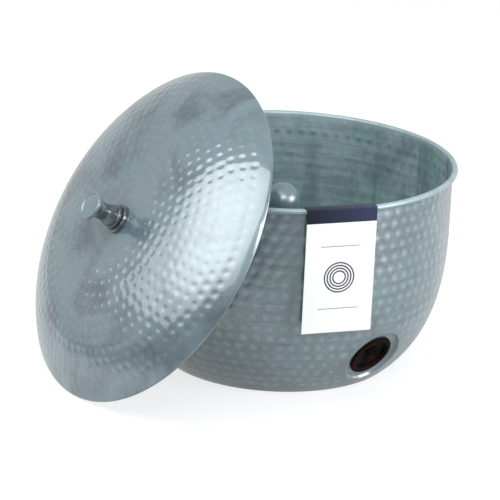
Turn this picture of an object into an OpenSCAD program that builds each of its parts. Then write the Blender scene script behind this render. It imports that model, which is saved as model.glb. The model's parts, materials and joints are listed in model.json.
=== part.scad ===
// Garden hose pot. A hammered steel bowl holds a coiled garden hose round a centre post, and
// the hose leaves through a rubber grommet low on the shoulder. The domed lid is taken off
// and leans on the rim. Millimetres, +Z up. The origin is the centre of the base on the
// ground, the lid leans on the rim's -X side, and the hose outlet faces about -Y.

/* [Pot] */
// Outer radius over the rolled rim
rim_r = 210; // [170:1:250]
// Height from the ground to the top of the rim
pot_h = 250; // [236:1:320]
// Thickness of the pot's steel sheet
pot_t = 1; // [0.8:0.1:1.4]
// Diameter of the rolled rim
rim_d = 7; // [6:0.25:9]
// Diameter of the wire inside the rolled rim
rim_wire_d = 4.7; // [3:0.1:4.9]
// Height at which the straight wall starts to curve in
curve_h = 184; // [150:1:222]
// Squareness of that curve, where 2 is an ellipse
curve_n = 2.6; // [2.3:0.1:3.6]
// Outer radius of the ring that the pot stands on
base_r = 140; // [122:1:150]
// Width of that ring
foot_w = 16; // [10:1:24]
// Rise of the middle of the base above the ground
base_rise = 9; // [8:0.5:14]
// Width of the slope from the ring up to the middle of the base
rise_w = 8; // [5:1:14]

/* [Drain holes] */
// Number of drain holes
drain_count = 4; // [3:1:8]
// Radius of a drain hole
drain_r = 4; // [2:0.5:7]
// Distance of the drain holes from the axis
drain_at = 70; // [50:1:80]

/* [Hose outlet] */
// Direction that the outlet faces, counted from +X
outlet_angle = 280; // [270:1:300]
// Height of the outlet's centre on the outer surface
outlet_h = 45; // [43:1:75]
// Outer radius of the pressed seat round the outlet
seat_r = 38; // [34:1:40]
// Depth of the seat's flat below the bowl's surface
seat_depth = 8; // [7:0.5:12]
// Radius of the hole in the steel
outlet_r = 25; // [22:0.5:27]
// Radius of the grommet's outer flange
flange_r = 28.5; // [27.5:0.5:32]
// Thickness of each grommet flange
flange_t = 3; // [2:0.25:4]
// Clearance round the grommet's neck
neck_gap = 0.2; // [0.1:0.05:0.5]
// Radius of the grommet's bore
bore_r = 21; // [18:0.5:21.5]
// Radius of the hole in the slit web
hose_r = 9; // [6:0.5:12]
// Thickness of the slit web
web_t = 2; // [1:0.25:2.5]
// Number of slits in the web
slit_count = 8; // [4:1:12]
// Width of a slit
slit_w = 0.8; // [0.4:0.1:1.5]
// Length of the web that is left uncut beyond each slit
slit_end = 2; // [1:0.5:4]

/* [Centre post] */
// Outer radius of the post
post_r = 23; // [18:0.5:40]
// Height from the ground to the top of the post
post_top = 217; // [150:1:230]
// Thickness of the post's sheet
post_t = 1; // [0.8:0.1:2]
// Thickness of the plate inside the post's foot
plate_t = 4; // [2:0.5:8]
// Clearance between the plate and the post
plate_gap = 0.1; // [0.05:0.05:0.3]
// Diameter of the bolt under the post
bolt_d = 6; // [5:1:8]
// Width across the flats of the bolt's head and nut
hex_af = 10; // [10:0.5:14]
// Height of the bolt's head
bolt_head_h = 4; // [3:0.5:4.5]
// Thickness of the nut
nut_h = 5; // [4:0.5:7]
// Radius of the bolt's washer
bolt_washer_r = 9; // [8:0.5:14]
// Thickness of the bolt's washer
bolt_washer_t = 1.6; // [1:0.1:2]
// Length of bolt that stands out of the nut
bolt_end = 2; // [1:0.5:5]
// Clearance round a bolt or screw in its holes
bolt_gap = 0.3; // [0.2:0.05:0.5]

/* [Lid] */
// Outer radius over the lid's rolled edge
lid_r = 209; // [175:1:240]
// Height of the dome above the plane of its edge
lid_h = 50; // [34:1:64]
// Flatness of the dome, where 2 is a plain curve
lid_p = 4.2; // [2.6:0.1:5]
// Thickness of the lid's steel sheet
lid_t = 0.8; // [0.6:0.1:1.2]
// Diameter of the lid's rolled edge
lid_edge_d = 4.4; // [4:0.2:6]
// Diameter of the wire inside the lid's rolled edge
lid_wire_d = 2.5; // [1.2:0.1:2.5]

/* [Knob] */
// Radius of the knob's collar
collar_r = 18; // [16:0.5:24]
// Thickness of the collar
collar_h = 5; // [3:0.5:8]
// Radius of the knob's foot
knob_foot_r = 15; // [12:0.5:15.5]
// Height of the knob's foot
knob_foot_h = 6; // [4:0.5:8]
// Radius of the knob's neck
neck_r = 10.5; // [8:0.5:12]
// Radius of the knob's head
head_r = 17; // [15:0.5:22]
// Height of the rim of the knob's head
head_h = 4; // [3:0.5:6]
// Height from the dome to the top of the knob
knob_h = 44; // [36:1:60]
// Depth of the dish in the knob's head
dish_depth = 1; // [0.5:0.25:2]
// Diameter of the knob's screw
screw_d = 5; // [4:0.5:6]
// Depth of the screw in the knob
screw_in = 12; // [8:1:15]
// Radius of the screw's head
screw_head_r = 4.8; // [4.5:0.1:6]
// Height of the screw's head
screw_head_h = 3; // [2:0.25:4]
// Radius of the washer under the screw's head
knob_washer_r = 10; // [7:0.5:16]
// Thickness of that washer
knob_washer_t = 1.2; // [0.8:0.1:2]

/* [Leaning lid] */
// Tilt of the lid's axis from upright
lean_angle = 60; // [55:0.5:70]
// Distance of the lid's centre from the pot's middle plane
lid_shift = 20; // [0:1:40]
// Gap between the lid and the rim where it leans
lean_gap = 0.25; // [0.1:0.05:0.5]

/* [Rim card] */
// Direction that the card faces, counted from +X
card_angle = 258; // [245:1:262]
// Width of the card
card_w = 85; // [50:1:95]
// Height of the card's front below the top of the rim
card_h = 150; // [90:1:155]
// Length of the flap inside the pot
flap_h = 38; // [20:1:70]
// Thickness of the card
card_t = 0.6; // [0.4:0.1:1]
// Clearance between the card and the rim
card_gap = 0.3; // [0.2:0.1:1]

/* [Hidden] */
$fn = 96;

steel_blue = [0.47, 0.56, 0.60];
wire_grey = [0.62, 0.64, 0.65];
zinc = [0.72, 0.73, 0.74];
dark_rubber = [0.12, 0.08, 0.07];

reach = 60;             // length of the tools that cut through a wall
cut = 1;                // how far a cut goes past the face it opens
curve_steps = 36;
arc_steps = 20;
bevel_steps = 8;

// Points on a circle round c, from angle a0 to a1
function arc(c, r, a0, a1, steps) =
    [for (i = [0 : steps]) let (a = a0 + (a1 - a0) * i / steps)
        [c[0] + r * cos(a), c[1] + r * sin(a)]];

function reversed(list) = [for (i = [len(list) - 1 : -1 : 0]) list[i]];

function unit(v) = v / norm(v);

// ---- Bowl outline: a superellipse that starts at curve_h and is cut off at the ground ----
wall_r = rim_r - rim_d + pot_t;
rim_c = [rim_r - rim_d / 2, pot_h - rim_d / 2];
bowl_end = acos(pow(base_r / wall_r, curve_n / 2));
bowl_depth = curve_h / pow(sin(bowl_end), 2 / curve_n);

function bowl_point(a) =
    [wall_r * pow(cos(a), 2 / curve_n), curve_h - bowl_depth * pow(sin(a), 2 / curve_n)];

function bowl_normal(a) =
    unit([pow(cos(a), 2 - 2 / curve_n) / wall_r, -pow(sin(a), 2 - 2 / curve_n) / bowl_depth]);

bowl_angles = [for (i = [0 : curve_steps]) bowl_end * pow(i / curve_steps, 1.3)];
bowl_outer = [for (a = bowl_angles) bowl_point(a)];
bowl_inner = [for (a = bowl_angles) bowl_point(a) - pot_t * bowl_normal(a)];

foot_in = base_r - foot_w;
panel_r = foot_in - rise_w;
rise_shift = pot_t * tan(atan2(base_rise, rise_w) / 2);

base_outer = [[0, base_rise], [panel_r, base_rise], [foot_in, 0]];
base_inner = [[bowl_inner[curve_steps][0], pot_t], [foot_in + rise_shift, pot_t],
              [panel_r + rise_shift, base_rise + pot_t], [0, base_rise + pot_t]];
bowl_inner_open = [for (i = [0 : curve_steps - 1]) bowl_inner[i]];

rim_curl_start = 180;
rim_curl_end = -126;
rim_curl = concat(arc(rim_c, rim_d / 2 - pot_t, rim_curl_start, rim_curl_end, arc_steps),
                  reversed(arc(rim_c, rim_d / 2, rim_curl_start, rim_curl_end, arc_steps)));

pot_outline = concat(base_outer, reversed(bowl_outer), rim_curl, bowl_inner_open, base_inner);

// The space inside the middle of the bowl's sheet
bowl_middle = [for (a = bowl_angles) bowl_point(a) - pot_t / 2 * bowl_normal(a)];
filled_outline = concat([[0, bowl_middle[curve_steps][1]]], reversed(bowl_middle), [[0, curve_h]]);

// ---- Outlet: its axis is square to the bowl at outlet_h ----
outlet_a = asin(pow((curve_h - outlet_h) / bowl_depth, curve_n / 2));
outlet_point = bowl_point(outlet_a);
outlet_dir = bowl_normal(outlet_a);

module at_outlet()
    rotate([0, 0, outlet_angle])
        translate([outlet_point[0], 0, outlet_point[1]])
            rotate([0, atan2(outlet_dir[0], outlet_dir[1]), 0])
                children();

// ---- Levels under the post ----
post_z = base_rise + pot_t;
bolt_r = bolt_d / 2;
hex_r = hex_af / 2 / cos(30);
nut_z = post_z + plate_t;
head_z = base_rise - bolt_washer_t;

// ---- Lid outline: a domed sheet that curls under round its edge wire ----
edge_r = lid_edge_d / 2;
edge_c = [lid_r - edge_r, 0];
edge_slope = atan(lid_h * lid_p / lid_r);  // the dome's slope at its edge
edge_join = edge_c + edge_r * [sin(edge_slope), cos(edge_slope)];
dome_r = edge_join[0] / pow(1 - edge_join[1] / lid_h, 1 / lid_p);

function dome_z(r) = lid_h * (1 - pow(r / dome_r, lid_p));
function dome_normal(r) = unit([lid_h * lid_p * pow(r / dome_r, lid_p - 1) / dome_r, 1]);

dome_radii = [for (i = [0 : curve_steps]) edge_join[0] * i / curve_steps];
dome_outer = [for (i = [0 : curve_steps - 1]) [dome_radii[i], dome_z(dome_radii[i])]];
dome_inner = [for (i = [0 : curve_steps - 1])
    let (r = dome_radii[i]) [r, dome_z(r)] - lid_t * dome_normal(r)];

edge_curl_start = 90 - edge_slope;
edge_curl_end = -244;
edge_curl = concat(arc(edge_c, edge_r, edge_curl_start, edge_curl_end, arc_steps),
                   reversed(arc(edge_c, edge_r - lid_t, edge_curl_start, edge_curl_end, arc_steps)));
lid_outline = concat(dome_outer, edge_curl, reversed(dome_inner));

// ---- Lean: the edge stands on the ground and the dome's inner face rests on the rim ----
lid_z = edge_c[0] * sin(lean_angle) + edge_r;
rim_rise = rim_c[1] - lid_z;

function rim_along(x) = (x - rim_c[0]) * cos(lean_angle) + rim_rise * sin(lean_angle);
function rim_depth(x) =
    dome_z(norm([rim_along(x), lid_shift])) - lid_t - rim_d / 2 - lean_gap;
function next_x(x) = rim_c[0] + (rim_rise * cos(lean_angle) - rim_depth(x)) / sin(lean_angle);
function lean_x(x, turns) = turns == 0 ? x : lean_x(next_x(x), turns - 1);

lid_x = lean_x(rim_c[0], 8);

module on_lid()
    translate([-lid_x, -lid_shift, lid_z]) rotate([0, -lean_angle, 0]) children();

screw_r = screw_d / 2;
screw_hole_r = screw_r + bolt_gap;
thread_gap = bolt_gap / 3;  // clearance where a thread would be

waist_share = 0.45;     // where the knob's neck is narrowest, as a share of its height
flare_power = 2.4;      // how late the neck flares out to the head
neck_steps = 12;
head_edge = 1;          // bevel round the knob's head

// A plain ring of round section
module wire_ring(r, z, d)
    rotate_extrude() translate([r, z]) circle(d = d, $fn = 32);

module washer(r, hole_r, t)
    difference() {
        cylinder(r = r, h = t);
        translate([0, 0, -t]) cylinder(r = hole_r, h = 3 * t);
    }

module pot_shell() {
    color(steel_blue)
    difference() {
        union() {
            rotate_extrude() polygon(pot_outline);
            intersection() {
                rotate_extrude() polygon(filled_outline);
                at_outlet() translate([0, 0, -seat_depth - pot_t]) cylinder(r = seat_r, h = reach);
            }
        }
        at_outlet() translate([0, 0, -seat_depth]) cylinder(r = seat_r - pot_t, h = reach);
        at_outlet() cylinder(r = outlet_r, h = reach, center = true);
        cylinder(r = bolt_r + bolt_gap, h = reach, center = true);
        for (i = [0 : drain_count - 1])
            rotate([0, 0, (i + 0.5) * 360 / drain_count])
                translate([drain_at, 0, 0]) cylinder(r = drain_r, h = reach, center = true);
    }
}

module rim_wire()
    color(wire_grey) wire_ring(rim_c[0], rim_c[1], rim_wire_d);

module center_post() {
    cap_c = [0, post_top - post_r];
    color(steel_blue)
    rotate_extrude()
        polygon(concat([[post_r, post_z]], arc(cap_c, post_r, 0, 90, arc_steps),
                       arc(cap_c, post_r - post_t, 90, 0, arc_steps), [[post_r - post_t, post_z]]));
}

module post_plate()
    color(zinc) translate([0, 0, post_z])
        washer(post_r - post_t - plate_gap, bolt_r + bolt_gap, plate_t);

module post_bolt() {
    color(zinc) {
        translate([0, 0, head_z - bolt_head_h]) cylinder(r = hex_r, h = bolt_head_h, $fn = 6);
        translate([0, 0, head_z - bolt_head_h / 2])
            cylinder(r = bolt_r, h = bolt_head_h / 2 + nut_z + nut_h + bolt_end - head_z);
    }
}

module post_washer()
    color(zinc) translate([0, 0, head_z]) washer(bolt_washer_r, bolt_r + bolt_gap, bolt_washer_t);

module post_nut()
    color(zinc) translate([0, 0, nut_z])
        difference() {
            cylinder(r = hex_r, h = nut_h, $fn = 6);
            translate([0, 0, -cut]) cylinder(r = bolt_r + thread_gap, h = nut_h + 2 * cut);
        }

module hose_grommet() {
    face = -seat_depth;
    back = face - pot_t;
    neck = outlet_r - neck_gap;
    lip = flange_t / 3;
    web_z = back - flange_t + lip;
    color(dark_rubber)
    at_outlet()
    difference() {
        rotate_extrude()
            polygon([[hose_r, web_z], [bore_r, web_z], [bore_r, back - flange_t],
                     [flange_r - lip, back - flange_t], [flange_r, back - flange_t + lip],
                     [flange_r, back], [neck, back], [neck, face], [flange_r, face],
                     [flange_r, face + lip], [flange_r - 2 * lip, face + flange_t],
                     [bore_r + lip, face + flange_t], [bore_r, face + flange_t - lip],
                     [bore_r, web_z + web_t], [hose_r, web_z + web_t]]);
        for (i = [0 : slit_count - 1])
            rotate([0, 0, i * 360 / slit_count])
                translate([0, -slit_w / 2, web_z - cut])
                    cube([bore_r - slit_end, slit_w, web_t + 2 * cut]);
    }
}

module lid_shell() {
    color(steel_blue)
    on_lid()
    difference() {
        rotate_extrude() polygon(lid_outline);
        translate([0, 0, lid_h]) cylinder(r = screw_hole_r, h = reach, center = true);
    }
}

module lid_edge_wire()
    color(wire_grey) on_lid() wire_ring(edge_c[0], edge_c[1], lid_wire_d);

module knob_collar() {
    edge = collar_h / 2;
    color(steel_blue)
    on_lid() translate([0, 0, lid_h])
    rotate_extrude()
        polygon(concat([[screw_hole_r, 0], [collar_r, 0]],
                       arc([collar_r - edge, collar_h - edge], edge, 0, 90, bevel_steps),
                       [[screw_hole_r, collar_h]]));
}

// The neck's outline eases from the foot down to neck_r and out again to the head
module lid_knob() {
    low = collar_h + knob_foot_h;
    high = knob_h - head_h;
    waist = low + (high - low) * waist_share;
    foot_edge = knob_foot_h / 2;
    foot_c = [knob_foot_r - foot_edge, collar_h + foot_edge];
    foot_top = knob_foot_r - foot_edge / 2;
    neck_top = head_r - head_edge / 2;
    lip = head_r - 2 * head_edge;
    lower = [for (i = [0 : neck_steps]) let (k = i / neck_steps)
        [neck_r + (foot_top - neck_r) * (1 + cos(180 * k)) / 2, low + (waist - low) * k]];
    upper = [for (i = [1 : neck_steps]) let (k = i / neck_steps)
        [neck_r + (neck_top - neck_r) * pow(k, flare_power), waist + (high - waist) * k]];
    color(steel_blue)
    on_lid() translate([0, 0, lid_h])
    difference() {
        rotate_extrude()
            polygon(concat([[0, collar_h], [foot_top, collar_h]],
                           arc(foot_c, foot_edge, -60, 60, bevel_steps), lower, upper,
                           [[head_r, high + head_edge / 2], [head_r, knob_h - head_edge],
                            [head_r - head_edge, knob_h], [lip, knob_h],
                            [lip - dish_depth, knob_h - dish_depth], [0, knob_h - dish_depth]]));
        cylinder(r = screw_r + thread_gap, h = collar_h + screw_in + cut);
    }
}

module knob_washer()
    color(zinc) on_lid() translate([0, 0, lid_h - lid_t - knob_washer_t])
        washer(knob_washer_r, screw_hole_r, knob_washer_t);

module knob_screw() {
    seat = lid_h - lid_t - knob_washer_t;
    color(zinc)
    on_lid() {
        translate([0, 0, seat - screw_head_h]) cylinder(r = screw_head_r, h = screw_head_h);
        translate([0, 0, seat - screw_head_h / 2])
            cylinder(r = screw_r, h = lid_h + collar_h + screw_in - seat + screw_head_h / 2);
    }
}

module rim_card() {
    front = rim_r + card_gap + card_t;
    back = sqrt(pow(wall_r - pot_t, 2) - pow(card_w / 2, 2)) - card_gap - card_t;
    top = pot_h + card_gap + card_t;
    color("white")
    rotate([0, 0, card_angle]) translate([0, card_w / 2, 0]) rotate([90, 0, 0])
    linear_extrude(card_w)
        polygon([[front, pot_h - card_h], [front, top], [back, top], [back, top - flap_h],
                 [back + card_t, top - flap_h], [back + card_t, top - card_t],
                 [front - card_t, top - card_t], [front - card_t, pot_h - card_h]]);
}

pot_shell();
rim_wire();
center_post();
post_plate();
post_bolt();
post_washer();
post_nut();
hose_grommet();
lid_shell();
lid_edge_wire();
lid_knob();
knob_collar();
knob_screw();
knob_washer();
rim_card();
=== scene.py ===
import json
import math
import bmesh
import bpy
from mathutils import Matrix, Vector


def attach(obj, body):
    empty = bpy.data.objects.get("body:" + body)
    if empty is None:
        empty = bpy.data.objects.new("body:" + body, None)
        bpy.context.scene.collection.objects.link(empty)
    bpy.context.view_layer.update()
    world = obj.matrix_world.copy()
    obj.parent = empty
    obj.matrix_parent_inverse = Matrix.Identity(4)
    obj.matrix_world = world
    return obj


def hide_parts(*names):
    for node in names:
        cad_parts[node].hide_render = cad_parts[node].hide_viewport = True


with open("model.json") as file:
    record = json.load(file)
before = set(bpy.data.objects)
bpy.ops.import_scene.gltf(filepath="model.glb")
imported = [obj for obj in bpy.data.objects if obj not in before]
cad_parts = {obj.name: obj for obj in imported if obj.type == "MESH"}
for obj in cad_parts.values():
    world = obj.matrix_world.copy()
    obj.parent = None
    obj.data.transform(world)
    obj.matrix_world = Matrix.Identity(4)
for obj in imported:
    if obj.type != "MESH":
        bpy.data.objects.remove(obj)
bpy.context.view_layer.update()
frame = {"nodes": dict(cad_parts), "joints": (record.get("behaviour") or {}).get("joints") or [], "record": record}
print("frame loaded:", ", ".join(sorted(frame["nodes"])))

mm = 0.001
scene = bpy.context.scene


# outlines and plain meshes

def arcPoints(centre, radius, start, end, steps):
    turns = [math.radians(start + (end - start) * i / steps) for i in range(steps + 1)]
    return [(centre[0] + radius * math.cos(a), centre[1] + radius * math.sin(a)) for a in turns]


def softened(corners, steps=4, closed=True):
    # each corner is (r, z, radius), and comes back as a rounded run of points
    points = []
    for i, (r, z, radius) in enumerate(corners):
        if radius == 0 or (not closed and i in (0, len(corners) - 1)):
            points.append((r, z))
            continue
        here = Vector((r, z))
        back = Vector(corners[i - 1][:2]) - here
        ahead = Vector(corners[(i + 1) % len(corners)][:2]) - here
        reach = min(radius / math.tan(back.angle(ahead) / 2), back.length * 0.49, ahead.length * 0.49)
        start, end = here + back.normalized() * reach, here + ahead.normalized() * reach
        for t in [k / steps for k in range(steps + 1)]:
            points.append(tuple(start * (1 - t) ** 2 + here * 2 * t * (1 - t) + end * t ** 2))
    return points


def meshObject(name, bm):
    mesh = bpy.data.meshes.new(name)
    bm.to_mesh(mesh)
    bm.free()
    obj = bpy.data.objects.new(name, mesh)
    scene.collection.objects.link(obj)
    return obj


def smoothShade(obj, angle):
    obj.data.polygons.foreach_set("use_smooth", [True] * len(obj.data.polygons))
    obj.data.set_sharp_from_angle(angle=math.radians(angle))


def applyModifiers(obj):
    graph = bpy.context.evaluated_depsgraph_get()
    mesh = bpy.data.meshes.new_from_object(obj.evaluated_get(graph), depsgraph=graph)
    obj.modifiers.clear()
    obj.data = mesh


def addCircle(bm, r, z, count):
    # vertices round the axis, or one vertex on it
    if r < 1e-7:
        return [bm.verts.new((0, 0, z))]
    turns = [2 * math.pi * k / count for k in range(count)]
    return [bm.verts.new((r * math.cos(a), r * math.sin(a), z)) for a in turns]


def bridge(bm, low, high, closed=True):
    # faces between two rows of vertices, either of which may be a single one
    count = max(len(low), len(high))
    for k in range(count if closed else count - 1):
        n = (k + 1) % count
        corners = [low[k % len(low)], low[n % len(low)], high[n % len(high)], high[k % len(high)]]
        bm.faces.new(list(dict.fromkeys(corners)))


def bridgeAll(bm, rings, closed):
    for low, high in zip(rings, rings[1:] + (rings[:1] if closed else [])):
        if len(low) + len(high) > 2:
            bridge(bm, low, high)


def closedShape(name, bm, angle):
    bmesh.ops.recalc_face_normals(bm, faces=bm.faces)
    obj = meshObject(name, bm)
    smoothShade(obj, angle)
    return obj


def spun(name, outline, columns=128, angle=40):
    # turns a closed outline of (r, z) round the axis
    bm = bmesh.new()
    bridgeAll(bm, [addCircle(bm, r, z, columns) for r, z in outline], True)
    return closedShape(name, bm, angle)


def finishPiece(obj, node, body, material=None, at=None):
    # at is the place of a piece made flat at the origin; a piece of sheet comes with its materials
    if at is not None:
        obj.data.transform(at)
    if material:
        obj.data.materials.clear()
        obj.data.materials.append(material)
    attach(obj, body)
    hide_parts(node)


# node helpers, for geometry and shader trees alike

def fill(tree, node, inputs):
    # a socket is linked, anything else is set as the input's own value
    for key, value in inputs.items():
        if isinstance(value, bpy.types.NodeSocket):
            tree.links.new(value, node.inputs[key])
        else:
            node.inputs[key].default_value = value


def place(tree, kind, inputs=None, **settings):
    node = tree.nodes.new(kind)
    for key, value in settings.items():
        setattr(node, key, value)
    fill(tree, node, inputs or {})
    return node


def calc(tree, operation, *values):
    return place(tree, "ShaderNodeMath", dict(enumerate(values)), operation=operation).outputs[0]


def times(tree, value, *factors):
    for factor in factors:
        value = calc(tree, "MULTIPLY", value, factor)
    return value


def vecCalc(tree, operation, *values):
    node = place(tree, "ShaderNodeVectorMath", dict(enumerate(values)), operation=operation)
    return node.outputs["Value" if operation in ("LENGTH", "DISTANCE", "DOT_PRODUCT") else "Vector"]


def scaledVec(tree, vector, factor):
    node = place(tree, "ShaderNodeVectorMath", {0: vector, "Scale": factor}, operation="SCALE")
    return node.outputs["Vector"]


def vecOf(tree, x, y, z):
    return place(tree, "ShaderNodeCombineXYZ", {0: x, 1: y, 2: z}).outputs[0]


def partsOf(tree, vector):
    return place(tree, "ShaderNodeSeparateXYZ", {0: vector}).outputs


def remap(tree, value, low, high, toLow=0.0, toHigh=1.0, curve="LINEAR"):
    return place(tree, "ShaderNodeMapRange", {
        "Value": value, "From Min": low, "From Max": high, "To Min": toLow, "To Max": toHigh},
        interpolation_type=curve).outputs[0]


def newGroup(name, kind, inputs, outputs):
    # inputs gives the value that a socket starts with, or only its kind
    tree = bpy.data.node_groups.new(name, kind)
    kinds = {float: "Float", int: "Int", tuple: "Vector"}
    for key, value in inputs.items():
        socketKind = kinds.get(type(value), value)
        socket = tree.interface.new_socket(key, in_out="INPUT", socket_type="NodeSocket" + socketKind)
        if socketKind != value:
            socket.default_value = value
    for key, socketKind in outputs.items():
        tree.interface.new_socket(key, in_out="OUTPUT", socket_type="NodeSocket" + socketKind)
    return tree, tree.nodes.new("NodeGroupInput").outputs, tree.nodes.new("NodeGroupOutput").inputs


def runNodes(obj, tree, values):
    # applies a geometry tree, whose inputs are found in values by their names
    modifier = obj.modifiers.new(tree.name, "NODES")
    modifier.node_group = tree
    for item in tree.interface.items_tree:
        if item.name in values:
            modifier[item.identifier] = values[item.name]
    applyModifiers(obj)
    return obj


# what the materials share

def newMaterial(name):
    material = bpy.data.materials.new(name)
    material.use_nodes = True
    tree = material.node_tree
    return material, tree, tree.nodes["Principled BSDF"]


def objectSpot(tree):
    return place(tree, "ShaderNodeTexCoord").outputs["Object"]


def stretched(tree, vector, scale, turn=(0, 0, 0)):
    return place(tree, "ShaderNodeMapping", {"Vector": vector, "Rotation": turn, "Scale": scale}).outputs[0]


def noise(tree, vector, scale, detail, roughness=0.5, distortion=0.0):
    return place(tree, "ShaderNodeTexNoise", {
        "Vector": vector, "Scale": scale, "Detail": detail, "Roughness": roughness,
        "Distortion": distortion}).outputs["Fac"]


def mixed(tree, share, a, b, kind="RGBA"):
    return place(tree, "ShaderNodeMix", {"Factor": share, "A": a, "B": b}, data_type=kind).outputs["Result"]


def bumped(tree, height, strength, distance):
    return place(tree, "ShaderNodeBump", {
        "Height": height, "Strength": strength, "Distance": distance}).outputs[0]


def dentDip(tree):
    # how deep in a hammer dent a point lies, from 0 at its edge
    return place(tree, "ShaderNodeAttribute", attribute_name="dip").outputs["Fac"]


def paleAbove(tree, height, rimAt, share):
    return remap(tree, height, rimAt, rimAt + 3 * mm, 0.0, share)


def buildPatina():
    # dark clouds, green patches and level streaks, with the pale worn colour on the grain and where Dip says; Dip
    # carries painted sheen in the dents as well as wear and paler tops
    tree, given, result = newGroup("patina", "ShaderNodeTree", {
        "Scale": 9.0, "Base": "Color", "Warm": "Color", "Green": "Color", "Wornsheen": "Color",
        "Dip": 0.0, "Streaks": 0.0}, {"Color": "Color", "Roughness": "Float"})
    where = objectSpot(tree)
    cloud = noise(tree, where, given["Scale"], 5.0, 0.6, 0.6)
    patch = noise(tree, vecCalc(tree, "ADD", where, (3.1, 1.7, 0.4)), given["Scale"], 3.0)
    grain = noise(tree, where, 260.0, 3.0, 0.7)
    streak = noise(tree, stretched(tree, where, (1.0, 1.0, 9.0)), 20.0, 4.0, 0.65)
    tint = mixed(tree, remap(tree, cloud, 0.45, 0.67), given["Base"], given["Warm"])
    tint = mixed(tree, remap(tree, patch, 0.5, 0.68), tint, given["Green"])
    tint = mixed(tree, remap(tree, streak, 0.45, 0.62, 0.0, given["Streaks"]), tint, given["Warm"])
    # pale colour from wear on the grain, plus the painted sheen and paler tops that Dip brings
    wornsheen = calc(tree, "ADD", remap(tree, grain, 0.35, 0.75, 0.0, 0.12), given["Dip"])
    tree.links.new(mixed(tree, wornsheen, tint, given["Wornsheen"]), result["Color"])
    fine = times(tree, calc(tree, "SUBTRACT", grain, 0.5), 0.03)
    rough = remap(tree, cloud, 0.3, 0.7, -0.03, 0.03)
    tree.links.new(calc(tree, "ADD", rough, fine), result["Roughness"])
    return tree


def buildScratches():
    # fine hairlines that run along two directions of the piece
    tree, given, result = newGroup("scratches", "ShaderNodeTree", {"Scale": 60.0, "Amount": 0.5},
                                   {"Height": "Float"})
    where = objectSpot(tree)
    lines = [noise(tree, stretched(tree, where, stretch, (turn, turn * 0.6, turn * 1.3)), given["Scale"], 2.0)
             for turn, stretch in ((0.4, (1.0, 14.0, 3.0)), (1.9, (11.0, 1.0, 4.0)))]
    centred = calc(tree, "SUBTRACT", calc(tree, "ADD", *lines), 1.0)
    tree.links.new(times(tree, centred, given["Amount"]), result["Height"])
    return tree


patinaGroup = buildPatina()
scratchGroup = buildScratches()


def patinaOf(tree, look, dip=0.0):
    colours = {key.capitalize(): look[key] for key in ("scale", "base", "warm", "green", "wornsheen", "streaks")}
    return place(tree, "ShaderNodeGroup", {**colours, "Dip": dip}, node_tree=patinaGroup).outputs


# materials

lidLook = {
    "base": (0.180, 0.272, 0.310, 1), "warm": (0.070, 0.114, 0.148, 1),
    "green": (0.165, 0.272, 0.288, 1), "wornsheen": (0.340, 0.440, 0.480, 1),
    "scale": 15.0, "streaks": 0.0, "paintedDentSheen": 0.16, "rimAt": None,
    "metallic": 0.35, "roughness": 0.26, "coat": 1.0, "coatIor": 2.3, "coatRoughness": 0.06,
}
wallLook = {
    **lidLook, "base": (0.194, 0.290, 0.318, 1), "warm": (0.104, 0.150, 0.180, 1),
    "green": (0.156, 0.272, 0.262, 1), "wornsheen": (0.410, 0.515, 0.550, 1),
    "streaks": 0.6, "paintedDentSheen": 0.42, "rimAt": 242 * mm, "rimShare": 0.75,
    "roughness": 0.32, "coatRoughness": 0.22,
}
postLook = {
    **wallLook, "streaks": 0.0, "paintedDentSheen": 0.0, "rimAt": None, "roughness": 0.36, "coatRoughness": 0.3,
}


def lacquer(tree, shader, look):
    fill(tree, shader, {"Metallic": look["metallic"], "Coat Weight": look["coat"],
                        "Coat IOR": look["coatIor"], "Coat Roughness": look["coatRoughness"]})


def makeSteel(name, look):
    # patina under a clear lacquer; the bottoms of the dents are painted paler by their share, a painted sheen, and
    # above rimAt the patina turns paler
    material, tree, shader = newMaterial(name)
    dip = 0.0
    if look["paintedDentSheen"]:
        # the dent bottoms are painted paler: a painted sheen
        dip = times(tree, dentDip(tree), look["paintedDentSheen"])
    if look["rimAt"]:
        # paler above the rim line
        height = partsOf(tree, objectSpot(tree))["Z"]
        dip = calc(tree, "MAXIMUM", dip, paleAbove(tree, height, look["rimAt"], look["rimShare"]))
    patina = patinaOf(tree, look, dip)
    scratch = place(tree, "ShaderNodeGroup", {"Scale": 60.0, "Amount": 0.5}, node_tree=scratchGroup).outputs
    fill(tree, shader, {
        "Base Color": patina["Color"], "Roughness": calc(tree, "ADD", patina["Roughness"], look["roughness"]),
        "Normal": bumped(tree, scratch["Height"], 0.05, 0.4 * mm)})
    lacquer(tree, shader, look)
    return material


lidSteel = makeSteel("hammeredSteel", lidLook)
wallSteel = makeSteel("wallSteel", wallLook)
postSteel = makeSteel("smoothSteel", postLook)

# the inside's colours are paler than the outside's: painted light for the shaded inside
liningLook = {
    "base": (0.362, 0.492, 0.520, 1), "warm": (0.190, 0.248, 0.282, 1), "green": (0.250, 0.450, 0.395, 1),
    "wornsheen": wallLook["wornsheen"], "scale": 11.0, "streaks": 0.45, "metallic": 0.3, "roughness": 0.36,
    "runs": 0.75, "rimShare": 0.62, "darkRow": 22 * mm, "darkRowShare": 0.85,
}


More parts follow.
